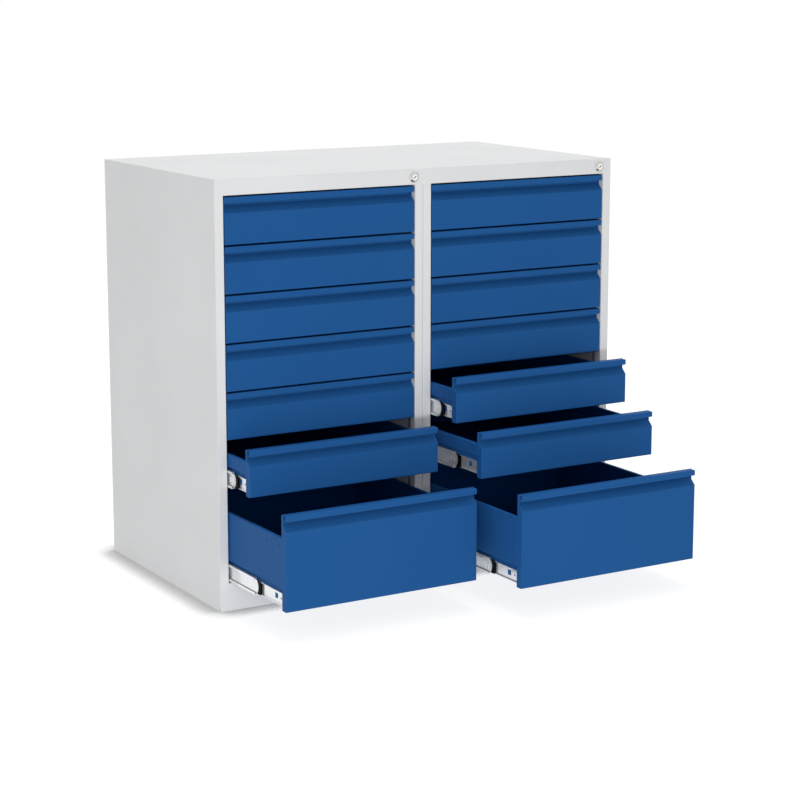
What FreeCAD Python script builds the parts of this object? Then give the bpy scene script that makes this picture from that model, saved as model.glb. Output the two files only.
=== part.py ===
import FreeCAD, Part
import math
import os

Vector = FreeCAD.Vector

# A two-column steel drawer cabinet with fourteen drawers on three-part ball slides.
# X runs along the front, Y from the front to the back, Z up from the floor.
# The origin is the middle of the footprint, on the floor.

# ---- Driving dimensions, in millimetres ----

# Cabinet
cabinet_width = 1092.0
cabinet_depth = 622.0
cabinet_height = 1000.0
stile_width = 22.0
top_rail_height = 37.0
base_rail_height = 66.0
return_depth = 21.0            # how far the frame's edges turn back into the cabinet
shell_sheet = 1.5
frame_corner_radius = 2.0      # rounded edge of the frame around its openings
shell_flange = 20.0            # the side and top panels' turned-in edges
relief_length = 6.0            # notch at the front foot of each side panel
relief_height = 5.0

# Runner liners, the inner walls that carry the slides
liner_sheet = 1.2
liner_setback = 8.0
liner_flange = 15.0
liner_notch_depth = 50.0       # clears the lock at the front top corner
liner_notch_height = 38.0

# Drawers
small_drawer_count = 6
small_front_height = 108.0
front_gap = 4.0                # between one front and the next
top_gap = 3.5                  # above the top front
bottom_gap = 2.5               # below the tall front, which fills what the others leave
side_gap = 2.5                 # beside each front
drawer_sheet = 1.0
bend_radius = 1.0
front_depth = 20.0
lip_height = 13.0
lip_back_height = 20.0         # from the lip's top to where the finger recess starts
recess_height = 37.5           # from the lip's top to where the finger recess ends
end_strip_width = 6.0
corner_radius = 1.5
lip_corner_radius = 3.0
tray_back_gap = 49.0           # from a closed tray to the back panel
tray_floor_lift = 5.0          # tray floor above the front's lower edge
tray_step_height = 50.0        # where the tray widens above its slides
small_tray_drop = 27.5         # tray side below the lip's top
large_tray_drop = 54.0
tray_rim = 9.0
tray_hem = 5.0
tray_wall_gap = 8.0            # tray's front wall below the lip's top
side_hole_diameter = 4.0
side_hole_drop = 18.5
side_hole_positions = (33.5, 92.5)
rim_hole_drop = 6.0
rim_hole_position = 49.5

# Slides
slide_width = 12.7
slide_centre_height = 22.5     # above the front's lower edge
slide_wall = 1.2
outer_rail_height = 46.0
outer_rail_reach = 10.0
outer_rail_setback = 15.5      # behind the back of the drawer front
middle_rail_height = 39.6
middle_rail_start = 2.0        # from the liner to the middle rail
middle_rail_width = 8.8
middle_web_offset = 5.5        # from the liner to the middle rail's web
middle_lip = 5.5
middle_setback = 4.0           # behind the back of the drawer front
middle_nose = 12.0             # how far the web's rounded nose passes the flanges
rib_diameter = 2.0             # stamped ribs on the web behind the nose
rib_height = 12.0
rib_centre = 0.1               # from the web's outer face
rib_positions = (1.0, 15.0)    # behind the flanges' front ends
inner_rail_height = 30.0
inner_rail_depth = 5.2
rail_end_gap = 5.0             # from the end of a drawer rail to the end of its tray
window_start = 34.0
window_length = 14.0
window_height = 12.0
window_lift = 1.5
rail_hole_diameter = 5.0
rail_hole_start = 19.0
stop_length = 10.0             # how far the black stop passes the nose
stop_overlap = 11.0
stop_rise = 1.0                # above and below the drawer member
stop_clearance = 0.6
cage_length = 150.0
cage_clearance = 0.3

# Where each drawer and its middle rails stand, top to bottom: how far they are pulled out
left_pulls = (0.0, 0.0, 0.0, 0.0, 0.0, 109.0, 280.0)
right_pulls = (0.0, 0.0, 0.0, 0.0, 112.0, 223.0, 393.0)
left_middle_pulls = (0.0, 0.0, 0.0, 0.0, 0.0, 46.0, 153.0)
right_middle_pulls = (0.0, 0.0, 0.0, 0.0, 53.0, 126.0, 279.0)

# Locks
lock_drop = 19.0               # below the cabinet's top
left_lock_inset = 3.0          # from the right edge of its opening
right_lock_inset = 12.0
rosette_diameter = 26.0
rosette_face_diameter = 19.0
rosette_height = 5.0
rosette_rim = 1.2
barrel_diameter = 18.6
barrel_length = 18.0
barrel_hole_clearance = 0.4
plug_diameter = 13.0
plug_clearance = 0.05
plug_recess = 0.6
key_slot_length = 8.0
key_slot_width = 2.4
key_slot_depth = 6.0
key_slot_angle = 37.0
nut_across_flats = 24.0
nut_thickness = 4.0
cam_diameter = 20.0
cam_thickness = 3.0
cam_pin_diameter = 3.0
bar_travel = 10.0
bar_thickness = 1.5
bar_width = 10.0
bar_gap = 0.2                  # between a bar and its liner
bar_setback = 22.0
bar_plate_thickness = 2.0
slot_clearance = 0.4
tongue_reach = 2.0
tongue_height = 8.5
tongue_lift = 53.5             # above the lower edge of the drawer front
catch_lift = 65.0
catch_height = 8.0
catch_length = 4.0
catch_gap = 0.6                # between a locked tongue and the catch behind it
catch_reach = 1.8

# Screws
screw_diameter = 4.0
screw_hole_clearance = 0.2
screw_head_diameter = 8.0
screw_head_height = 0.5
slide_screw_inset = 40.0       # from each end of an outer rail
back_screw_head_height = 1.3
back_screw_rows = 5
back_screw_margin = 90.0

# ---- Worked-out places ----

half_width = cabinet_width / 2
front_y = -cabinet_depth / 2
back_y = cabinet_depth / 2
opening_width = (cabinet_width - 4 * stile_width) / 2
column_centres = {
    "left": -(opening_width / 2 + stile_width),
    "right": opening_width / 2 + stile_width,
}
column_pulls = {"left": left_pulls, "right": right_pulls}
column_middle_pulls = {"left": left_middle_pulls, "right": right_middle_pulls}
lock_insets = {"left": left_lock_inset, "right": right_lock_inset}
opening_top = cabinet_height - top_rail_height
opening_bottom = base_rail_height
deck_top = base_rail_height - shell_sheet
back_panel_y = back_y - 2 * shell_sheet
small_drawer_pitch = small_front_height + front_gap
large_front_height = (opening_top - top_gap - small_drawer_count * small_drawer_pitch
                      - bottom_gap - opening_bottom)

front_width = opening_width - 2 * side_gap
tray_length = cabinet_depth - 2 * shell_sheet - front_depth - tray_back_gap
rail_length = tray_length - rail_end_gap
outer_rail_length = tray_length - outer_rail_setback
liner_face = -shell_sheet                      # the liner's face, seen from the opening's edge
tray_offset = liner_face + slide_width         # the tray's lower side, from the opening's edge
tray_half_narrow = opening_width / 2 - tray_offset
tray_half_wide = front_width / 2
middle_start = front_depth + middle_setback
lock_height = cabinet_height - lock_drop
pin_radius = bar_travel / math.sqrt(2)


# ---- Shape helpers ----

def box(x0, x1, y0, y1, z0, z1):
    return Part.makeBox(x1 - x0, y1 - y0, z1 - z0, Vector(x0, y0, z0))


def cylinder(diameter, length, base, direction):
    return Part.makeCylinder(diameter / 2, length, base, direction)


def unit(a, b):
    length = math.hypot(b[0] - a[0], b[1] - a[1])
    return ((b[0] - a[0]) / length, (b[1] - a[1]) / length)


def side_line(points, shift):
    """The line that runs beside a bent line, shifted to its left."""
    line = []
    for i, point in enumerate(points):
        before = unit(points[i - 1], point) if i > 0 else unit(point, points[1])
        after = unit(point, points[i + 1]) if i < len(points) - 1 else before
        normal = (-before[1] - after[1], before[0] + after[0])
        scale = shift / (1 + before[0] * after[0] + before[1] * after[1])
        line.append((point[0] + normal[0] * scale, point[1] + normal[1] * scale))
    return line


def rounded_edges(points, radii, place):
    """Straight edges along the points, with an arc of the given radius at each inner point."""
    edges = []
    start = points[0]
    for i in range(1, len(points) - 1):
        into = unit(points[i - 1], points[i])
        out = unit(points[i], points[i + 1])
        turn = math.atan2(into[0] * out[1] - into[1] * out[0], into[0] * out[0] + into[1] * out[1])
        cut = radii[i] * math.tan(abs(turn) / 2)
        arc_start = (points[i][0] - into[0] * cut, points[i][1] - into[1] * cut)
        arc_end = (points[i][0] + out[0] * cut, points[i][1] + out[1] * cut)
        inward = unit(into, out)
        depth = radii[i] * (1 / math.cos(turn / 2) - 1)
        arc_middle = (points[i][0] + inward[0] * depth, points[i][1] + inward[1] * depth)
        edges.append(Part.LineSegment(place(*start), place(*arc_start)).toShape())
        edges.append(Part.Arc(place(*arc_start), place(*arc_middle), place(*arc_end)).toShape())
        start = arc_end
    edges.append(Part.LineSegment(place(*start), place(*points[-1])).toShape())
    return edges


def folded_sheet(points, thickness, radius, place, direction):
    """A sheet bent along the points of its middle line, then extruded."""
    left = side_line(points, thickness / 2)
    right = side_line(points, -thickness / 2)
    left_radii = [radius] * len(points)
    right_radii = [radius + thickness] * len(points)
    for i in range(1, len(points) - 1):
        into = unit(points[i - 1], points[i])
        out = unit(points[i], points[i + 1])
        if into[0] * out[1] - into[1] * out[0] < 0:
            left_radii[i], right_radii[i] = right_radii[i], left_radii[i]
    edges = rounded_edges(left, left_radii, place)
    edges.append(Part.LineSegment(place(*left[-1]), place(*right[-1])).toShape())
    edges += rounded_edges(right[::-1], right_radii[::-1], place)
    edges.append(Part.LineSegment(place(*right[0]), place(*left[0])).toShape())
    wire = Part.Wire(Part.__sortEdges__(edges))
    return Part.Face(wire).extrude(direction)


def plate(points, place, direction):
    """A flat plate with straight edges, extruded from its outline."""
    corners = [place(*point) for point in points]
    return Part.Face(Part.makePolygon(corners + corners[:1])).extrude(direction)


def fused(shapes):
    return shapes[0].fuse(shapes[1:]).removeSplitter()


def edges_along(shape, direction, x=None, y=None, z=None):
    """The straight edges of one direction that lie on the given planes."""
    found = []
    for edge in shape.Edges:
        if len(edge.Vertexes) != 2 or not isinstance(edge.Curve, Part.Line):
            continue
        if abs(abs(edge.Curve.Direction.dot(direction)) - 1) > 1e-6:
            continue
        middle = edge.CenterOfMass
        wanted = ((x, middle.x), (y, middle.y), (z, middle.z))
        if all(a is None or abs(a - b) < 1e-3 for a, b in wanted):
            found.append(edge)
    return found


def side_x(column, side, offset):
    """X at a distance from one edge of a column's opening, towards its middle."""
    sign = -1 if side == "left" else 1
    return column_centres[column] + sign * (opening_width / 2 - offset)


def save(name, shapes):
    solids = []
    for shape in shapes:
        solids += shape.Solids
    result = solids[0] if len(solids) == 1 else Part.makeCompound(solids)
    result.exportStep("parts/" + name + ".step")


def screw(point, direction, head_height, shank_length):
    """A flat-headed screw; the point is under its head, and the direction is the shank's."""
    shank = cylinder(screw_diameter, shank_length, point, direction)
    head = cylinder(screw_head_diameter, head_height, point - direction * head_height, direction)
    return head.fuse(shank).removeSplitter()


def screw_hole(point, direction, length):
    start = point - direction * length / 2
    return cylinder(screw_diameter + 2 * screw_hole_clearance, length, start, direction)


# ---- Drawers ----

def drawer_levels():
    """Lower edge, height and tray drop of each drawer front, from the top down."""
    levels = []
    top = opening_top - top_gap
    for _ in range(small_drawer_count):
        levels.append((top - small_front_height, small_front_height, small_tray_drop))
        top -= small_drawer_pitch
    levels.append((top - large_front_height, large_front_height, large_tray_drop))
    return levels


def drawer_front(height):
    """Folded front with its lip, finger recess and turned-back edges, at X 0, Y 0, Z 0."""
    half = drawer_sheet / 2
    back = front_depth - half

    def place(y, z):
        return Vector(-front_width / 2, y, z)

    line = [
        (half, height - lip_height),
        (half, height - half),
        (back, height - half),
        (back, height - lip_back_height),
        (half, height - recess_height),
        (half, half),
        (front_depth, half),
    ]
    sheet = folded_sheet(line, drawer_sheet, bend_radius, place, Vector(front_width, 0, 0))
    inset = 0.6 * drawer_sheet
    strip = front_depth - end_strip_width
    slope = (recess_height - lip_back_height) / front_depth
    outline = [
        (inset, inset),
        (front_depth, inset),
        (front_depth, height - inset),
        (strip, height - inset),
        (strip, height - lip_back_height - slope * end_strip_width),
        (inset, height - recess_height - inset),
    ]
    left_end = plate(outline, place, Vector(drawer_sheet, 0, 0))
    right_end = left_end.translated(Vector(front_width - drawer_sheet, 0, 0))
    block = box(-front_width / 2, front_width / 2, 0, front_depth, 0, height)
    corners = []
    for x in (-front_width / 2, front_width / 2):
        corners += edges_along(block, Vector(0, 0, 1), x=x, y=0)
    block = block.makeFillet(corner_radius, corners)
    # The lip's ends have rounded corners.
    lip = box(-front_width / 2, front_width / 2, 0, strip, height - lip_height, height)
    lip_corners = lip.cut(lip.makeFillet(lip_corner_radius, edges_along(lip, Vector(0, 1, 0))))
    return fused([sheet, left_end, right_end]).common(block).cut(lip_corners)


def drawer_tray(height, drop):
    """Tray behind the front: narrow between its slides, wide above them."""
    half = drawer_sheet / 2
    top = height - drop
    start_y = front_depth
    wide = tray_half_wide - half
    narrow = tray_half_narrow - half
    rim = tray_half_wide - tray_rim

    def place(x, z):
        return Vector(x, start_y, z)

    right_half = [
        (narrow, tray_floor_lift + half),
        (narrow, tray_step_height + half),
        (wide, tray_step_height + half),
        (wide, top - half),
        (rim + half, top - half),
        (rim + half, top - tray_hem),
    ]
    line = [(-x, z) for x, z in right_half[::-1]] + right_half
    body = folded_sheet(line, drawer_sheet, bend_radius, place, Vector(0, tray_length, 0))
    inset = 0.6 * drawer_sheet
    narrow_in = tray_half_narrow - inset
    wide_in = tray_half_wide - inset
    right_edge = [
        (narrow_in, tray_floor_lift + inset),
        (narrow_in, tray_step_height + inset),
        (wide_in, tray_step_height + inset),
        (wide_in, top - inset),
    ]
    outline = [(-x, z) for x, z in right_edge[::-1]] + right_edge
    wall = plate(outline, place, Vector(0, drawer_sheet, 0))
    back_wall = wall.translated(Vector(0, tray_length - drawer_sheet, 0))
    upper_wall = box(-rim, rim, start_y, start_y + drawer_sheet, top - 2 * inset, height - tray_wall_gap)
    tray = fused([body, wall, back_wall, upper_wall])
    holes = []
    for sign in (-1, 1):
        across = Vector(sign, 0, 0)
        for y in side_hole_positions:
            holes.append(cylinder(side_hole_diameter, 4 * drawer_sheet,
                                  Vector(sign * (tray_half_wide - 2 * drawer_sheet), y, top - side_hole_drop),
                                  across))
        holes.append(cylinder(side_hole_diameter, 4 * drawer_sheet,
                              Vector(sign * (tray_half_wide - 2 * drawer_sheet), rim_hole_position,
                                     top - rim_hole_drop),
                              across))
    catch_y = bar_setback + bar_width + catch_gap
    catch = box(tray_half_wide - half, tray_half_wide + catch_reach,
                catch_y, catch_y + catch_length, catch_lift, catch_lift + catch_height)
    return tray.cut(Part.makeCompound(holes)).fuse(catch).removeSplitter()


def inner_rail(column, side, bottom):
    """The slide's drawer member, screwed to the tray's lower side."""
    web_outer = tray_offset - slide_wall
    low = slide_centre_height - inner_rail_height / 2
    high = slide_centre_height + inner_rail_height / 2
    reach = tray_offset - inner_rail_depth

    def place(offset, z):
        return Vector(side_x(column, side, offset), front_depth, bottom + z)

    outline = [
        (tray_offset, low), (tray_offset, high), (reach, high), (reach, high - slide_wall),
        (web_outer, high - slide_wall), (web_outer, low + slide_wall), (reach, low + slide_wall),
        (reach, low),
    ]
    rail = plate(outline, place, Vector(0, rail_length, 0))
    x0, x1 = sorted((side_x(column, side, reach), side_x(column, side, tray_offset)))
    window_low = slide_centre_height - window_height / 2 + window_lift
    window = box(x0, x1, front_depth + window_start, front_depth + window_start + window_length,
                 bottom + window_low, bottom + window_low + window_height)
    hole = cylinder(rail_hole_diameter, x1 - x0,
                    Vector(x0, front_depth + rail_hole_start, bottom + slide_centre_height),
                    Vector(1, 0, 0))
    return rail.cut(window).cut(hole)


def middle_rail(column, side, bottom):
    """The slide's middle member, with its rounded nose, black stop and ball cages."""
    start = liner_face + middle_rail_start
    end = start + middle_rail_width
    web = liner_face + middle_web_offset
    web_inner = web + slide_wall
    top = middle_rail_height / 2
    under = top - slide_wall
    lip = top - middle_lip
    centre = bottom + slide_centre_height
    nose_tip = middle_start - middle_nose

    def place(offset, z):
        return Vector(side_x(column, side, offset), middle_start, centre + z)

    def block(offsets, y0, y1, heights):
        x0, x1 = sorted(side_x(column, side, offset) for offset in offsets)
        z0, z1 = sorted(centre + height for height in heights)
        return box(x0, x1, y0, y1, z0, z1)

    upper = [
        (web, under), (start + slide_wall, under), (start + slide_wall, lip), (start, lip),
        (start, top), (end, top), (end, under), (web_inner, under),
    ]
    lower = [(offset, -z) for offset, z in upper[::-1]]
    rail = plate(upper + lower, place, Vector(0, rail_length, 0))
    # The nose is a segment of a disc, as high as the web and as long as it passes the flanges.
    nose_radius = (under ** 2 + middle_nose ** 2) / (2 * middle_nose)
    disc_x = min(side_x(column, side, web), side_x(column, side, web_inner))
    disc = cylinder(2 * nose_radius, slide_wall,
                    Vector(disc_x, nose_tip + nose_radius, centre), Vector(1, 0, 0))
    nose = disc.common(block((web, web_inner), nose_tip, middle_start + slide_wall, (-under, under)))
    ribs = [cylinder(rib_diameter, rib_height,
                     Vector(side_x(column, side, web + rib_centre), middle_start + y,
                            centre - rib_height / 2), Vector(0, 0, 1))
            for y in rib_positions]
    member = fused([rail, nose] + ribs)
    # The stop is a thin plate beside the drawer member, and a block inside it.
    stop_front = nose_tip - stop_length
    stop_back = middle_start + stop_overlap
    plate_edge = tray_offset - inner_rail_depth - cage_clearance
    plate_half = inner_rail_height / 2 + stop_rise
    block_half = inner_rail_height / 2 - slide_wall - stop_clearance
    stop_end = tray_offset - slide_wall - stop_clearance
    stop = fused([
        block((web_inner, plate_edge), stop_front, stop_back, (-plate_half, plate_half)),
        block((web_inner, stop_end), stop_front, stop_back, (-block_half, block_half)),
    ])
    pieces = [member, stop]
    # Ball cages: two outside, near the back end, and two inside, near the front end.
    outer_room = outer_rail_height / 2 - slide_wall - cage_clearance
    inner_room = inner_rail_height / 2 + cage_clearance
    cage_end = middle_start + rail_length
    inner_start = tray_offset - inner_rail_depth
    for sign in (-1, 1):
        pieces.append(block((start, end), cage_end - cage_length, cage_end,
                            (sign * top, sign * outer_room)))
        pieces.append(block((inner_start, end), stop_back, stop_back + cage_length,
                            (sign * inner_room, sign * under)))
    return pieces


def outer_rail(column, side, bottom):
    """The slide's cabinet member, screwed to the liner."""
    centre = bottom + slide_centre_height
    start_y = front_y + front_depth + outer_rail_setback
    top = outer_rail_height / 2
    face = liner_face + slide_wall
    reach = liner_face + outer_rail_reach

    def place(offset, z):
        return Vector(side_x(column, side, offset), start_y, centre + z)

    outline = [
        (liner_face, -top), (liner_face, top), (reach, top), (reach, top - slide_wall),
        (face, top - slide_wall), (face, slide_wall - top), (reach, slide_wall - top), (reach, -top),
    ]
    rail = plate(outline, place, Vector(0, outer_rail_length, 0))
    holes = [screw_hole(point, direction, 6 * slide_wall)
             for point, direction in slide_screw_places(column, side, bottom)]
    return rail.cut(Part.makeCompound(holes))


def slide_screw_places(column, side, bottom):
    """Where the screws of one outer rail sit: under the head, and which way they point."""
    direction = Vector(-1 if side == "left" else 1, 0, 0)
    start_y = front_y + front_depth + outer_rail_setback
    x = side_x(column, side, liner_face + slide_wall)
    z = bottom + slide_centre_height
    return [(Vector(x, start_y + y, z), direction)
            for y in (slide_screw_inset, outer_rail_length - slide_screw_inset)]


def make_drawers():
    for column in ("left", "right"):
        for number, (bottom, height, drop) in enumerate(drawer_levels(), start=1):
            shift = Vector(0, front_y - column_pulls[column][number - 1], 0)
            place = shift + Vector(column_centres[column], 0, bottom)
            name = column + "_drawer_" + str(number)
            front = drawer_front(height).translated(place)
            tray = drawer_tray(height, drop).translated(place)
            save(name, [front, tray])
            rails = [inner_rail(column, side, bottom).translated(shift) for side in ("left", "right")]
            save(name + "_rails", rails)
            shift = Vector(0, front_y - column_middle_pulls[column][number - 1], 0)
            middles = []
            for side in ("left", "right"):
                middles += [piece.translated(shift) for piece in middle_rail(column, side, bottom)]
            save(name + "_middle_rails", middles)


# ---- Cabinet ----

def lock_x(column):
    return side_x(column, "right", lock_insets[column])


def front_frame():
    """One welded frame: outer stiles, top rail and base rail, with edges turned back."""
    face = box(-half_width, half_width, front_y, front_y + shell_sheet, 0, cabinet_height)
    parts = [face]
    windows = []
    for column in ("left", "right"):
        x0 = side_x(column, "left", 0)
        x1 = side_x(column, "right", 0)
        parts.append(box(x0 - shell_sheet, x1 + shell_sheet, front_y, front_y + return_depth,
                         opening_bottom - shell_sheet, opening_top + shell_sheet))
        windows.append(box(x0, x1, front_y, front_y + return_depth, opening_bottom, opening_top))
    frame = fused(parts).cut(Part.makeCompound(windows))
    rims = []
    for column in ("left", "right"):
        for side in ("left", "right"):
            x = side_x(column, side, 0)
            rims += edges_along(frame, Vector(0, 0, 1), x=x, y=front_y)
        for z in (opening_bottom, opening_top):
            rims += edges_along(frame, Vector(1, 0, 0), x=column_centres[column], y=front_y, z=z)
    frame = frame.makeFillet(frame_corner_radius, rims)
    middle = box(-stile_width, stile_width, front_y, front_y + return_depth, opening_bottom, opening_top)
    returns = box(-stile_width - shell_sheet, stile_width + shell_sheet,
                  front_y + shell_sheet, front_y + return_depth,
                  opening_bottom - 2 * shell_sheet, opening_top + 2 * shell_sheet)
    bridges = [box(-stile_width - shell_sheet, stile_width + shell_sheet,
                   front_y + shell_sheet, front_y + liner_setback, z, z + shell_sheet)
               for z in (opening_bottom - shell_sheet, opening_top)]
    frame = frame.cut(middle).cut(returns).fuse(bridges).removeSplitter()
    holes = [cylinder(barrel_diameter + barrel_hole_clearance, 2 * shell_sheet,
                      Vector(lock_x(column), front_y - shell_sheet / 2, lock_height), Vector(0, 1, 0))
             for column in ("left", "right")]
    return frame.cut(Part.makeCompound(holes))


def centre_stile(column):
    """Half of the middle upright: a channel whose face is as wide as an outer stile's."""
    sign = -1 if column == "left" else 1
    seam = 0.3
    x0, x1 = sorted((sign * seam, sign * stile_width))
    outside = box(x0, x1, front_y, front_y + return_depth, opening_bottom, opening_top)
    inside = box(x0 + shell_sheet, x1 - shell_sheet, front_y + shell_sheet, front_y + return_depth,
                 opening_bottom, opening_top)
    channel = outside.cut(inside)
    corners = []
    for x in (x0, x1):
        corners += edges_along(channel, Vector(0, 0, 1), x=x, y=front_y)
    return channel.makeFillet(frame_corner_radius, corners)


def side_panel(side):
    sign = -1 if side == "left" else 1
    half = shell_sheet / 2
    front = front_y + shell_sheet
    top = cabinet_height - shell_sheet

    def place(x, y):
        return Vector(sign * x, y, 0)

    line = [
        (half_width - stile_width + 2 * shell_sheet, front + half),
        (half_width - half, front + half),
        (half_width - half, back_y - half),
        (half_width - shell_flange, back_y - half),
    ]
    panel = folded_sheet(line, shell_sheet, bend_radius, place, Vector(0, 0, top))
    x0, x1 = sorted((sign * (half_width - stile_width), sign * (half_width + 1)))
    relief = box(x0, x1, front - 1, front + relief_length, -1, relief_height)
    return panel.cut(relief)


def top_panel():
    z = cabinet_height - shell_sheet
    sheet = box(-half_width, half_width, front_y + shell_sheet, back_y, z, cabinet_height)
    reach = half_width - shell_flange - 2 * cage_clearance
    flange = box(-reach, reach, back_y - shell_sheet, back_y, z - shell_flange, cabinet_height)
    return fused([sheet, flange])


def bottom_pan():
    x = half_width - shell_sheet
    y0 = front_y + shell_sheet
    y1 = back_y - shell_sheet
    pan = box(-x, x, y0, y1, 0, shell_sheet)
    corners = []
    for side_edge in (-x, x):
        corners += edges_along(pan, Vector(0, 0, 1), x=side_edge, y=y1)
    return pan.makeFillet(bend_radius, corners)


def base_deck():
    """Floor of the drawer space, with its two long edges turned down."""
    x = half_width - shell_sheet
    y0 = front_y + shell_sheet
    sheet = box(-x, x, y0, back_panel_y, deck_top - shell_sheet, deck_top)
    flanges = []
    for side_edge in (-x, x - shell_sheet):
        flanges.append(box(side_edge, side_edge + shell_sheet, y0 + shell_flange, back_panel_y,
                           deck_top - shell_flange, deck_top))
    relief = []
    for sign in (-1, 1):
        x0, x1 = sorted((sign * (half_width - stile_width + shell_sheet), sign * half_width))
        relief.append(box(x0, x1, y0, y0 + shell_sheet + bend_radius, 0, deck_top))
    return fused([sheet] + flanges).cut(Part.makeCompound(relief))


def back_panel():
    x = half_width - shell_sheet - bend_radius
    panel = box(-x, x, back_panel_y, back_panel_y + shell_sheet, shell_sheet, cabinet_height - shell_sheet)
    holes = [screw_hole(point, direction, 6 * shell_sheet) for point, direction in back_screw_places()]
    return panel.cut(Part.makeCompound(holes))


def back_screw_places():
    places = []
    span = cabinet_height - 2 * back_screw_margin
    for sign in (-1, 1):
        x = sign * (stile_width + liner_face - liner_sheet - liner_flange / 2)
        for row in range(back_screw_rows):
            z = back_screw_margin + span * row / (back_screw_rows - 1)
            places.append((Vector(x, back_panel_y + shell_sheet, z), Vector(0, -1, 0)))
    return places


def runner_liner(column, side):
    """Inner wall of a column, with a back flange and a notch that clears the lock."""
    top = cabinet_height - shell_sheet
    middle = liner_face - liner_sheet / 2
    y0 = front_y + liner_setback

    def place(offset, y):
        return Vector(side_x(column, side, offset), y, deck_top)

    line = [
        (middle, y0),
        (middle, back_panel_y - liner_sheet / 2),
        (liner_face - liner_sheet - liner_flange, back_panel_y - liner_sheet / 2),
    ]
    liner = folded_sheet(line, liner_sheet, bend_radius, place, Vector(0, 0, top - deck_top))
    x = side_x(column, side, liner_face)
    notch = box(x - liner_flange, x + liner_flange, y0 - 1, front_y + liner_notch_depth,
                top - liner_notch_height, top + 1)
    holes = []
    for bottom, _, _ in drawer_levels():
        for point, direction in slide_screw_places(column, side, bottom):
            holes.append(screw_hole(point, direction, 6 * slide_wall))
    for point, direction in back_screw_places():
        holes.append(screw_hole(point, direction, 6 * shell_sheet))
    return liner.cut(notch).cut(Part.makeCompound(holes))


def make_screws():
    screws = []
    for column in ("left", "right"):
        for side in ("left", "right"):
            for bottom, _, _ in drawer_levels():
                for point, direction in slide_screw_places(column, side, bottom):
                    screws.append(screw(point, direction, screw_head_height, 3 * slide_wall))
    for point, direction in back_screw_places():
        screws.append(screw(point, direction, back_screw_head_height, 4 * shell_sheet))
    save("screws", screws)


def make_cabinet():
    save("front_frame", [front_frame()])
    save("centre_stiles", [centre_stile("left"), centre_stile("right")])
    for side in ("left", "right"):
        save(side + "_side_panel", [side_panel(side)])
    save("top_panel", [top_panel()])
    save("bottom_pan", [bottom_pan()])
    save("base_deck", [base_deck()])
    save("back_panel", [back_panel()])
    for column in ("left", "right"):
        save(column + "_column_liners", [runner_liner(column, side) for side in ("left", "right")])
        rails = []
        for side in ("left", "right"):
            rails += [outer_rail(column, side, bottom) for bottom, _, _ in drawer_levels()]
        save(column + "_column_outer_rails", rails)


# ---- Locks ----

def lock_housing(column):
    """Rosette, barrel and nut, as two solids."""
    x = lock_x(column)
    backwards = Vector(0, 1, 0)
    face_y = front_y - rosette_height
    rim = cylinder(rosette_diameter, rosette_rim, Vector(x, front_y - rosette_rim, lock_height), backwards)
    taper = Part.makeCone(rosette_face_diameter / 2, rosette_diameter / 2, rosette_height - rosette_rim,
                          Vector(x, face_y, lock_height), backwards)
    barrel = cylinder(barrel_diameter, barrel_length, Vector(x, front_y, lock_height), backwards)
    bore = cylinder(plug_diameter + 2 * plug_clearance, barrel_length + 3 * rosette_height,
                    Vector(x, face_y - rosette_height, lock_height), backwards)
    body = fused([rim, taper, barrel]).cut(bore)
    corners = []
    for i in range(6):
        angle = math.radians(60 * i + 30)
        radius = nut_across_flats / math.sqrt(3)
        corners.append((x + radius * math.cos(angle), lock_height + radius * math.sin(angle)))
    nut = plate(corners, lambda a, b: Vector(a, front_y + shell_sheet, b), Vector(0, nut_thickness, 0))
    nut_hole = cylinder(barrel_diameter + 2 * plug_clearance, 2 * nut_thickness,
                        Vector(x, front_y, lock_height), backwards)
    return [body, nut.cut(nut_hole)]


def lock_plug(column):
    """Plug with its key slot, and a cam whose pin lifts the bar."""
    x = lock_x(column)
    backwards = Vector(0, 1, 0)
    front = front_y - rosette_height + plug_recess
    cam_y = front_y + barrel_length + cage_clearance
    plug = cylinder(plug_diameter, cam_y - front, Vector(x, front, lock_height), backwards)
    slot = box(-key_slot_length / 2, key_slot_length / 2, -1, key_slot_depth,
               -key_slot_width / 2, key_slot_width / 2)
    slot.rotate(Vector(0, 0, 0), Vector(0, 1, 0), -key_slot_angle)
    plug = plug.cut(slot.translated(Vector(x, front, lock_height)))
    cam = cylinder(cam_diameter, cam_thickness, Vector(x, cam_y, lock_height), backwards)
    pin_x = x - bar_travel / 2
    pin_z = lock_height - bar_travel / 2
    pin_end = front_y + bar_setback + 2 * bar_plate_thickness + 1.5
    pin = cylinder(cam_pin_diameter, pin_end - cam_y, Vector(pin_x, cam_y, pin_z), backwards)
    return fused([plug, cam, pin])


def lock_bar(column):
    """Upright bar with a tongue for each drawer, and a slotted plate that the cam's pin lifts."""
    def bar_x(offset):
        return side_x(column, "right", offset)

    face = liner_face + bar_gap
    y0 = front_y + bar_setback
    y1 = y0 + bar_width
    levels = drawer_levels()
    low = levels[-1][0] + tongue_lift - tongue_height
    top = lock_height + bar_travel / 2
    parts = [box(bar_x(face + bar_thickness), bar_x(face), y0, y1, low, top)]
    for bottom, _, _ in levels:
        z = bottom + tongue_lift
        parts.append(box(bar_x(face + bar_thickness + tongue_reach), bar_x(face), y0, y1,
                         z, z + tongue_height))
    x = lock_x(column)
    slot_half = cam_pin_diameter / 2 + slot_clearance
    slot_low = x - pin_radius - slot_half
    slot_high = x - bar_travel / 2 + slot_half
    slot_z = lock_height - bar_travel / 2
    plate_y = y0 + bar_plate_thickness
    wall = 3.0
    parts.append(box(slot_low - wall, bar_x(face), plate_y, plate_y + bar_plate_thickness,
                     slot_z - slot_half - wall, top))
    slot = box(slot_low, slot_high, plate_y - 1, plate_y + bar_plate_thickness + 1,
               slot_z - slot_half, slot_z + slot_half)
    return fused(parts).cut(slot)


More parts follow.
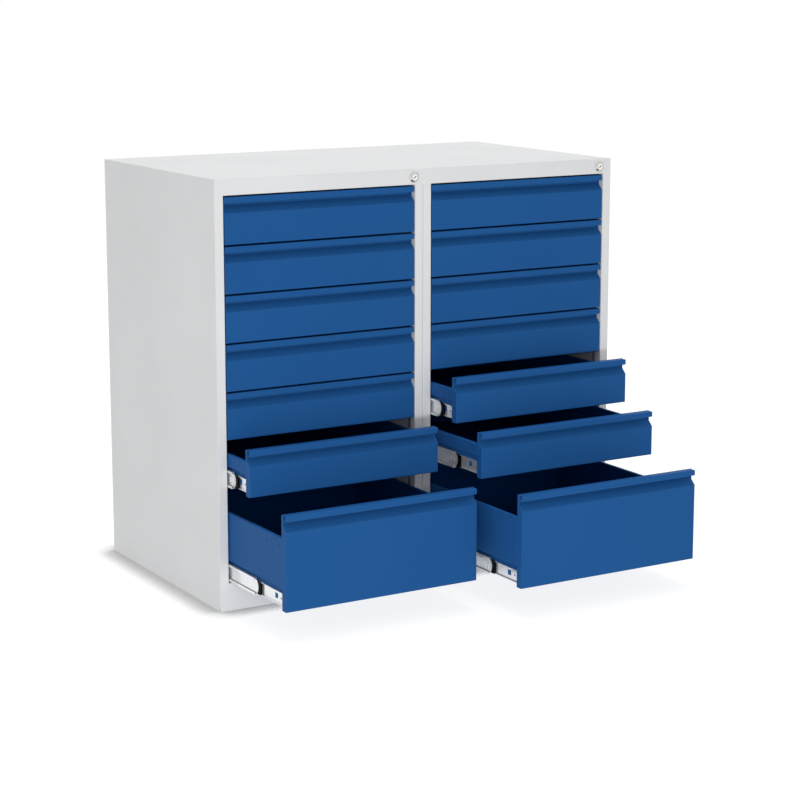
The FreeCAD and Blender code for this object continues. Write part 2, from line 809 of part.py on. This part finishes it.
def make_locks():
    housings = []
    for column in ("left", "right"):
        housings += lock_housing(column)
        save(column + "_lock_plug", [lock_plug(column)])
        save(column + "_lock_bar", [lock_bar(column)])
    save("lock_housings", housings)


os.makedirs("parts", exist_ok=True)
make_cabinet()
make_drawers()
make_locks()
make_screws()
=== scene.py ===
import math

import bpy
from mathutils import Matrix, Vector

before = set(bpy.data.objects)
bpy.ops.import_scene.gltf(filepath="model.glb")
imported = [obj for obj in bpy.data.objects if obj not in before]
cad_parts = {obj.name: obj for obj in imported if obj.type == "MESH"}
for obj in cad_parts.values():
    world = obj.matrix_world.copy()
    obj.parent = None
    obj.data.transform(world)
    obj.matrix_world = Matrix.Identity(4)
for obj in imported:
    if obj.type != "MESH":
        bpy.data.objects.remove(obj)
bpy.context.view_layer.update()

MM = 0.001
BEVEL_SAMPLES = 4

# ---- Sizes that the finishes need, in millimetres, as the cabinet is built ----

FRONT_Y = -311.0               # the shell's front plane, and the closed drawers' fronts
COLUMN_CENTRES = {"left": -273.0, "right": 273.0}
OPENING_HALF = 251.0

DRAWER_NUMBERS = range(1, 8)   # in each column, from the top
TALL_DRAWER = 7
TOP_LIP = 959.5                # upper edge of the first drawer's front
SMALL_FRONT = 108.0
SMALL_PITCH = 112.0
TALL_FRONT_BOTTOM = 68.5

# The inside of a tray, which gets painted shade, from the lower edge of its front, its middle plane and
# its front.
TRAY_FLOOR = 5.5
TRAY_STEP = 50.4               # the tray is wider above this
TRAY_OVERLAP = 0.1             # by which the two widths' zones overlap
SMALL_TRAY_TOP = 79.9
TALL_TRAY_TOP = 164.4
TRAY_NARROW = 239.3
TRAY_WIDE = 248.0
TRAY_FRONT = 20.5
TRAY_BACK = 569.5

# The black stop of a middle rail, from the opening's edge, the slide's centre and the rail's nose.
STOP_OFFSET = 5.15
STOP_HALF = 16.6
STOP_FRONT = 1.0
STOP_BACK = 35.2
SLIDE_CENTRE = 22.5            # above the lower edge of the drawer's front

LOCK_X = {"left": -25.0, "right": 512.0}
LOCK_Z = 981.0
PLUG_FACE_Y = -315.4
KEYWAY_START = 0.2             # behind the plug's face
KEYWAY_DEPTH = 6.2
KEYWAY_REACH = 4.4             # from the plug's centre

# How far each drawer and its middle rails stand out at rest.
PULLS = {
    "left": (0, 0, 0, 0, 0, 109, 280),
    "right": (0, 0, 0, 0, 112, 223, 393),
}
MIDDLE_PULLS = {
    "left": (0, 0, 0, 0, 0, 46, 153),
    "right": (0, 0, 0, 0, 53, 126, 279),
}


def drawer_bottom(number):
    """Lower edge of a drawer's front."""
    if number == TALL_DRAWER:
        return TALL_FRONT_BOTTOM
    return TOP_LIP - SMALL_FRONT - (number - 1) * SMALL_PITCH


# ---- Colours and node helpers ----

def colour(hexa):
    """Linear RGBA from an sRGB hex colour."""
    parts = [int(hexa[i:i + 2], 16) / 255 for i in (1, 3, 5)]
    linear = [c / 12.92 if c <= 0.04045 else ((c + 0.055) / 1.055) ** 2.4 for c in parts]
    return (*linear, 1.0)


def node(tree, kind, settings=None, **inputs):
    """Adds one node. Settings are its properties. An input is a value or the socket that feeds it,
    and its name is the socket's name, or i and the socket's number."""
    made = tree.nodes.new(kind)
    for key, value in (settings or {}).items():
        setattr(made, key, value)
    for key, value in inputs.items():
        numbered = key[0] == "i" and key[1:].isdigit()
        socket = made.inputs[int(key[1:]) if numbered else key.replace("_", " ")]
        if isinstance(value, bpy.types.NodeSocket):
            tree.links.new(value, socket)
        else:
            socket.default_value = value
    return made


def maths(tree, operation, first, second):
    return node(tree, "ShaderNodeMath", {"operation": operation}, i0=first, i1=second).outputs[0]


def spread(tree, value, low, high, start=0.3, end=0.7):
    """Stretches start..end to low..high. Most of a noise's values lie between 0.3 and 0.7."""
    return node(tree, "ShaderNodeMapRange", Value=value, From_Min=start, From_Max=end, To_Min=low,
                To_Max=high).outputs[0]


def between(tree, value, low, high):
    """1 where a value lies between two limits in millimetres, else 0."""
    above = maths(tree, "GREATER_THAN", value, low * MM)
    below = maths(tree, "LESS_THAN", value, high * MM)
    return maths(tree, "MULTIPLY", above, below)


def noise(tree, where, size, detail=1.0, roughness=0.5):
    """Noise with its bumps that many millimetres apart."""
    return node(tree, "ShaderNodeTexNoise", Vector=where, Scale=1 / (size * MM), Detail=detail,
                Roughness=roughness).outputs[0]


def mixed(tree, share, first, second, blend="MIX"):
    """Mixes two colours."""
    return node(tree, "ShaderNodeMix", {"data_type": "RGBA", "blend_type": blend}, i0=share, i6=first,
                i7=second).outputs[2]


def shaded(tree, paint, shade):
    """A colour, times a factor that varies over the surface."""
    grey = node(tree, "ShaderNodeCombineColor", Red=shade, Green=shade, Blue=shade)
    return mixed(tree, 1.0, colour(paint), grey.outputs[0], "MULTIPLY")


def rounded(tree, radius):
    """The surface's normal, as if its edges had that radius in millimetres."""
    return node(tree, "ShaderNodeBevel", {"samples": BEVEL_SAMPLES}, Radius=radius * MM).outputs[0]


def two_surfaces(tree, mask, first, second):
    return node(tree, "ShaderNodeMixShader", i0=mask, i1=first, i2=second).outputs[0]


def new_material(name):
    material = bpy.data.materials.new(name)
    material.use_nodes = True
    material.node_tree.nodes.clear()
    return material, material.node_tree


def close_material(tree, shader):
    node(tree, "ShaderNodeOutputMaterial", Surface=shader)


def place(tree):
    """Coordinates in metres, the same all over the cabinet, which move along with a drawer."""
    return node(tree, "ShaderNodeTexCoord").outputs["Object"]


def column_axes(tree, where, column):
    """Coordinates across from the column's middle plane, along the depth, and up."""
    axes = node(tree, "ShaderNodeSeparateXYZ", Vector=where).outputs
    return maths(tree, "ADD", axes[0], -COLUMN_CENTRES[column] * MM), axes[1], axes[2]


# ---- Powder coat: polyester powder baked on sheet steel. A low sheen, a fine orange peel, a slow
# drift of its shade over each sheet, and a painted highlight, a lighter paint along folded and cut
# edges.

PEEL_SIZE = 2.0                # mm from bump to bump
PEEL_SPECK = 0.35              # mm, the grain on the bumps
SPECK_SHARE = 0.25             # of the grain in the relief
PEEL_STRENGTH = 0.06
PEEL_DEPTH = 0.2               # mm
CLOUD_SIZE = 260.0             # mm, of the drift
CLOUD_SHADE = (0.975, 1.02)    # factors on the paint's colour
GLOSS_DRIFT = 0.03             # of roughness, either way
EDGE_RADIUS = 1.3              # mm, of folded and cut edges
HIGHLIGHT_START = 0.98              # cosine of the normal's turn where the painted edge highlight sets in
HIGHLIGHT_FULL = 0.93               # and where it is full

SHELL_GREY = "#E2E3E4"
# near-white paint along the shell's edges: a painted highlight
SHELL_EDGE_HIGHLIGHT = "#FFFFFF"
LINER_GREY = "#C9CBCD"
DRAWER_BLUE = "#215793"
# lighter blue along the drawers' edges: a painted highlight
DRAWER_EDGE_HIGHLIGHT = "#3A74B4"
# a darker blue inside each tray: painted shade, the tray itself is the drawer's blue
TRAY_PAINTED_SHADE = "#084886"


def powder_coat(name, paint, highlight_paint, roughness, shine, tray=None):
    """tray is None, or the column and number of the drawer whose tray gets a painted shade inside."""
    material, tree = new_material(name)
    where = place(tree)
    cloud = noise(tree, where, CLOUD_SIZE, detail=3.0)
    coat = shaded(tree, paint, spread(tree, cloud, *CLOUD_SHADE))
    # Painted shade: the inside of the tray is painted a darker blue.
    if tray:
        coat = mixed(tree, tray_shade_mask(tree, where, *tray), coat, colour(TRAY_PAINTED_SHADE))
    normal = rounded(tree, EDGE_RADIUS)
    # Painted highlight: lighter paint mixed in along edges, where the rounded normal turns from the
    # flat one.
    if highlight_paint:
        flat = node(tree, "ShaderNodeNewGeometry").outputs["Normal"]
        turn = node(tree, "ShaderNodeVectorMath", {"operation": "DOT_PRODUCT"}, i0=flat, i1=normal)
        edge = spread(tree, turn.outputs["Value"], 0.0, 1.0, start=HIGHLIGHT_START, end=HIGHLIGHT_FULL)
        coat = mixed(tree, edge, coat, colour(highlight_paint))
    peel = noise(tree, where, PEEL_SIZE, roughness=0.4)
    speck = noise(tree, where, PEEL_SPECK)
    relief = node(tree, "ShaderNodeMath", {"operation": "MULTIPLY_ADD"}, i0=speck, i1=SPECK_SHARE,
                  i2=peel)
    bump = node(tree, "ShaderNodeBump", Strength=PEEL_STRENGTH, Distance=PEEL_DEPTH * MM,
                Height=relief.outputs[0], Normal=normal)
    gloss = spread(tree, speck, roughness - GLOSS_DRIFT, roughness + GLOSS_DRIFT, start=0.25,
                   end=0.75)
    shader = node(tree, "ShaderNodeBsdfPrincipled", Base_Color=coat, Roughness=gloss,
                  Normal=bump.outputs[0], Specular_IOR_Level=shine)
    close_material(tree, shader.outputs[0])
    return material


def tray_shade_mask(tree, where, column, number):
    """Faces within a drawer's tray, which get painted shade: its floor and the inner faces of its
    walls.
    """
    across, along, up = column_axes(tree, where, column)
    bottom = drawer_bottom(number)
    step = bottom + TRAY_STEP
    top = bottom + (TALL_TRAY_TOP if number == TALL_DRAWER else SMALL_TRAY_TOP)
    front = FRONT_Y - PULLS[column][number - 1]
    lower = maths(tree, "MULTIPLY", between(tree, up, bottom + TRAY_FLOOR, step + TRAY_OVERLAP),
                  between(tree, across, -TRAY_NARROW, TRAY_NARROW))
    upper = maths(tree, "MULTIPLY", between(tree, up, step, top),
                  between(tree, across, -TRAY_WIDE, TRAY_WIDE))
    either = maths(tree, "MAXIMUM", lower, upper)
    return maths(tree, "MULTIPLY", either, between(tree, along, front + TRAY_FRONT, front + TRAY_BACK))


# ---- Zinc plate: bright electroplated zinc on cold-rolled steel. A nearly white, slightly hazy mirror,
# with fine lines along the roll.

ZINC = "#EEF0F2"
ZINC_METAL = 0.7               # the rest is the haze of the passivated plate
ZINC_SHADE = (0.95, 1.0)       # factors on its colour, from line to line
ZINC_ROUGHNESS = (0.16, 0.22)
ROLL_LINE = 0.6                # mm across
ROLL_LENGTH = 60.0             # mm along
ROLL_STRENGTH = 0.02
ROLL_DEPTH = 0.02              # mm
ZINC_EDGE = 0.3                # mm


def zinc_plate(name, stop=None):
    """stop is None, or the column and number of the drawer whose middle rails have black stops."""
    material, tree = new_material(name)
    where = place(tree)
    stretched = node(tree, "ShaderNodeVectorMath", {"operation": "MULTIPLY"}, i0=where,
                     i1=(1.0, ROLL_LINE / ROLL_LENGTH, 1.0))
    lines = noise(tree, stretched.outputs[0], ROLL_LINE, detail=2.0, roughness=0.6)
    bump = node(tree, "ShaderNodeBump", Strength=ROLL_STRENGTH, Distance=ROLL_DEPTH * MM,
                Height=lines, Normal=rounded(tree, ZINC_EDGE))
    steel = node(tree, "ShaderNodeBsdfPrincipled", Metallic=ZINC_METAL, Normal=bump.outputs[0],
                 Base_Color=shaded(tree, ZINC, spread(tree, lines, *ZINC_SHADE)),
                 Roughness=spread(tree, lines, *ZINC_ROUGHNESS))
    shader = steel.outputs[0]
    if stop:
        shader = two_surfaces(tree, stop_mask(tree, where, *stop), shader, acetal(tree, where))
    close_material(tree, shader)
    return material


# ---- Acetal: moulded black plastic for the stops. Satin, deep black, with a faint spark-eroded grain.

ACETAL_BLACK = "#060607"
ACETAL_SHINE = 0.04
ACETAL_ROUGHNESS = (0.38, 0.48)
ACETAL_GRAIN = 0.5             # mm
ACETAL_STRENGTH = 0.1
ACETAL_DEPTH = 0.05            # mm


def acetal(tree, where):
    grain = noise(tree, where, ACETAL_GRAIN)
    bump = node(tree, "ShaderNodeBump", Strength=ACETAL_STRENGTH, Distance=ACETAL_DEPTH * MM,
                Height=grain)
    return node(tree, "ShaderNodeBsdfPrincipled", Base_Color=colour(ACETAL_BLACK),
                Specular_IOR_Level=ACETAL_SHINE, Roughness=spread(tree, grain, *ACETAL_ROUGHNESS),
                Normal=bump.outputs[0]).outputs[0]


def stop_mask(tree, where, column, number):
    """Where a middle rail's black stop is."""
    across, along, up = column_axes(tree, where, column)
    nose = FRONT_Y - MIDDLE_PULLS[column][number - 1]
    centre = drawer_bottom(number) + SLIDE_CENTRE
    reach = OPENING_HALF - STOP_OFFSET
    flat = maths(tree, "MULTIPLY", between(tree, across, -reach, reach),
                 between(tree, along, nose + STOP_FRONT, nose + STOP_BACK))
    return maths(tree, "MULTIPLY", flat, between(tree, up, centre - STOP_HALF, centre + STOP_HALF))


# ---- Chrome plate: polished nickel-chrome on turned zinc. Nearly a mirror, with turning rings.

# The same chrome in two tints: lighter on the plug's face as a painted highlight, darker on the housing
# as painted shade.
PLUG_CHROME_PAINTED_HIGHLIGHT = "#F7F7F5"
HOUSING_CHROME_PAINTED_SHADE = "#CDCCC8"
CHROME_ROUGHNESS = (0.14, 0.22)
RING_SCALE = 600.0             # a ring every 0.5 mm
RING_DISTORTION = 0.6
RING_STRENGTH = 0.05
RING_DEPTH = 0.02              # mm
CHROME_EDGE = 0.4              # mm


def chrome_plate(name, tint, centre_x, keyway=False):
    material, tree = new_material(name)
    where = place(tree)
    axes = node(tree, "ShaderNodeSeparateXYZ", Vector=where).outputs
    flat = node(tree, "ShaderNodeCombineXYZ", X=maths(tree, "SUBTRACT", axes[0], centre_x * MM),
                Y=maths(tree, "SUBTRACT", axes[2], LOCK_Z * MM)).outputs[0]
    rings = node(tree, "ShaderNodeTexWave", {"wave_type": "RINGS", "rings_direction": "SPHERICAL"},
                 Vector=flat, Scale=RING_SCALE, Distortion=RING_DISTORTION).outputs[0]
    bump = node(tree, "ShaderNodeBump", Strength=RING_STRENGTH, Distance=RING_DEPTH * MM,
                Height=rings, Normal=rounded(tree, CHROME_EDGE))
    chrome = node(tree, "ShaderNodeBsdfPrincipled", Base_Color=colour(tint), Metallic=1.0,
                  Roughness=spread(tree, rings, *CHROME_ROUGHNESS, start=0.0, end=1.0),
                  Normal=bump.outputs[0])
    shader = chrome.outputs[0]
    if keyway:
        # Painted shade: the walls of the key slot are painted near-black.
        reach = node(tree, "ShaderNodeVectorMath", {"operation": "LENGTH"}, i0=flat)
        within = maths(tree, "LESS_THAN", reach.outputs["Value"], KEYWAY_REACH * MM)
        deep = between(tree, axes[1], PLUG_FACE_Y + KEYWAY_START, PLUG_FACE_Y + KEYWAY_DEPTH)
        mask = maths(tree, "MULTIPLY", within, deep)
        shader = two_surfaces(tree, mask, shader, keyway_painted_shade(tree, where))
    close_material(tree, shader)
    return material


# ---- Keyway: bare brass in the plug's slot, painted near-black as painted shade deep in the slot, and dull.

# near-black: painted shade in the key slot
KEYWAY_SHADE_BLACK = "#0B0A08"
BRASS_SHINE = 0.1
BRASS_ROUGHNESS = (0.5, 0.8)
SLOT_NOISE_SIZE = 0.8               # mm


def keyway_painted_shade(tree, where):
    slot_roughness_noise = noise(tree, where, SLOT_NOISE_SIZE)
    return node(tree, "ShaderNodeBsdfPrincipled", Base_Color=colour(KEYWAY_SHADE_BLACK),
                Specular_IOR_Level=BRASS_SHINE,
                Roughness=spread(tree, slot_roughness_noise, *BRASS_ROUGHNESS, start=0.0, end=1.0)).outputs[0]


# ---- Finishes on the cabinet's own nodes ----

def finish(names, material):
    for name in names:
        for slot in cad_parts[name].material_slots:
            slot.material = material


shell_coat = powder_coat("light_grey_powder_coat", SHELL_GREY, SHELL_EDGE_HIGHLIGHT, roughness=0.5, shine=0.25)
liner_coat = powder_coat("liner_grey_powder_coat", LINER_GREY, None, roughness=0.5, shine=0.4)
zinc = zinc_plate("bright_zinc_plate")

finish(("front_frame", "centre_stiles", "left_side_panel", "right_side_panel", "top_panel",
        "bottom_pan", "base_deck", "back_panel"), shell_coat)
finish(("left_column_liners", "right_column_liners"), liner_coat)
finish(("left_column_outer_rails", "right_column_outer_rails", "left_lock_bar", "right_lock_bar",
        "screws"), zinc)
for column in ("left", "right"):
    for number in DRAWER_NUMBERS:
        name = f"{column}_drawer_{number}"
        blue = powder_coat(f"{name}_blue_powder_coat", DRAWER_BLUE, DRAWER_EDGE_HIGHLIGHT, roughness=0.42,
                           shine=0.04, tray=(column, number))
        finish((name,), blue)
        finish((name + "_rails",), zinc)
        finish((name + "_middle_rails",), zinc_plate(f"{name}_slide_zinc", stop=(column, number)))
    finish((column + "_lock_plug",),
           chrome_plate(column + "_plug_chrome", PLUG_CHROME_PAINTED_HIGHLIGHT, LOCK_X[column], keyway=True))
finish(("lock_housings",), chrome_plate("housing_chrome", HOUSING_CHROME_PAINTED_SHADE, LOCK_X["left"]))


# ---- Floor, light and camera ----

FLOOR_HALF = 60.0              # metres, so that its far edge is the horizon
FLOOR_SHADE = 0.28             # share of the lamps' light that the camera sees on the floor
FLOOR_LIFT = 0.848             # the rest, which has only the contact shadow
CONTACT_SAMPLES = 3
CONTACT_REACH = 67.0           # mm, just short of the tall drawers' undersides
CONTACT_DARK = 0.18            # the lift's share that is left at the foot of the cabinet
CONTACT_FULL = 0.62            # the openness of the floor at which the shadow is that dark
BOUNCE_SHADE = 0.20            # what the floor throws back on the cabinet, with its shadows
BOUNCE_EVEN = 0.55             # and without
SKY = 0.55                     # light from all round, against a white background of 1


def looked_at(tree):
    """1 for what the camera sees, straight or in the plating, and 0 for light on its way."""
    rays = node(tree, "ShaderNodeLightPath").outputs
    return maths(tree, "MAXIMUM", rays["Is Camera Ray"], rays["Is Glossy Ray"])


def even_diffuse(tree, share):
    return node(tree, "ShaderNodeBsdfDiffuse", Color=(share, share, share, 1)).outputs[0]


def together(tree, first, second):
    return node(tree, "ShaderNodeAddShader", i0=first, i1=second).outputs[0]


def pale_floor():
    """A white sheet. To the camera and in the plating it is lifted to white, and keeps its shadows:
    the soft ones of the lamps, and the tight one where the cabinet stands. What it throws back on
    the cabinet is even, as from a sheet lit from all round."""
    mesh = bpy.data.meshes.new("floor")
    corners = [(-1, -1), (1, -1), (1, 1), (-1, 1)]
    mesh.from_pydata([(x * FLOOR_HALF, y * FLOOR_HALF, 0) for x, y in corners], [], [(0, 1, 2, 3)])
    floor = bpy.data.objects.new("floor", mesh)
    bpy.context.collection.objects.link(floor)
    material, tree = new_material("white_floor")
    even = node(tree, "ShaderNodeEmission", Strength=BOUNCE_EVEN).outputs[0]
    bounce = together(tree, even_diffuse(tree, BOUNCE_SHADE), even)
    contact = node(tree, "ShaderNodeAmbientOcclusion", {"samples": CONTACT_SAMPLES},
                   Distance=CONTACT_REACH * MM)
    lift = spread(tree, contact.outputs["AO"], FLOOR_LIFT * CONTACT_DARK, FLOOR_LIFT,
                  start=CONTACT_FULL, end=1.0)
    glow = node(tree, "ShaderNodeEmission", Strength=lift).outputs[0]
    seen = together(tree, even_diffuse(tree, FLOOR_SHADE), glow)
    close_material(tree, two_surfaces(tree, looked_at(tree), bounce, seen))
    mesh.materials.append(material)


def studio_world():
    world = bpy.data.worlds.new("studio")
    bpy.context.scene.world = world
    world.use_nodes = True
    tree = world.node_tree
    tree.nodes.clear()
    strength = spread(tree, looked_at(tree), SKY, 1.0, start=0.0, end=1.0)
    sky = node(tree, "ShaderNodeBackground", Color=(1, 1, 1, 1), Strength=strength)
    node(tree, "ShaderNodeOutputWorld", Surface=sky.outputs[0])


def lamp(name, position, aim, size, watts):
    """A soft panel, which lights the cabinet but doesn't burn a spot into its plating."""
    data = bpy.data.lights.new(name, "AREA")
    data.shape = "RECTANGLE"
    data.size, data.size_y = size
    data.energy = watts
    made = bpy.data.objects.new(name, data)
    made.location = position
    made.rotation_euler = (Vector(aim) - Vector(position)).to_track_quat("-Z", "Y").to_euler()
    made.visible_glossy = False
    bpy.context.collection.objects.link(made)


SENSOR_WIDTH = 36.0            # mm
IMAGE_WIDTH = 800.0            # pixels
CAMERA_REACH = 2092.6          # distance of the image plane, in the same pixels
CAMERA_POSITION = (-2.5737, -4.5166, 1.4491)
CAMERA_YAW = 30.826            # degrees to the right of the cabinet's depth
CAMERA_PITCH = 10.434          # degrees down
CAMERA_SHIFT = -0.05           # of the image's width


def studio_camera():
    data = bpy.data.cameras.new("camera")
    camera = bpy.data.objects.new("camera", data)
    bpy.context.collection.objects.link(camera)
    data.sensor_width = SENSOR_WIDTH
    data.lens = CAMERA_REACH / IMAGE_WIDTH * SENSOR_WIDTH
    data.shift_y = CAMERA_SHIFT
    data.clip_start, data.clip_end = 0.1, 100
    camera.location = CAMERA_POSITION
    camera.rotation_euler = (math.pi / 2 - math.radians(CAMERA_PITCH), 0, -math.radians(CAMERA_YAW))
    bpy.context.scene.camera = camera


pale_floor()
studio_world()
lamp("overhead", position=(0.3, 0.6, 9.0), aim=(0.1, 0.1, 0.5), size=(3.2, 3.2), watts=278)
lamp("front_fill", position=(-2.5, -5.2, 1.6), aim=(0.0, -0.3, 0.5), size=(1.6, 1.0), watts=17)
lamp("low_front", position=(-2.8, -5.15, 0.25), aim=(-0.2, -0.3, 0.35), size=(3.0, 0.45), watts=103)
studio_camera()

bpy.context.scene.view_settings.view_transform = "Standard"
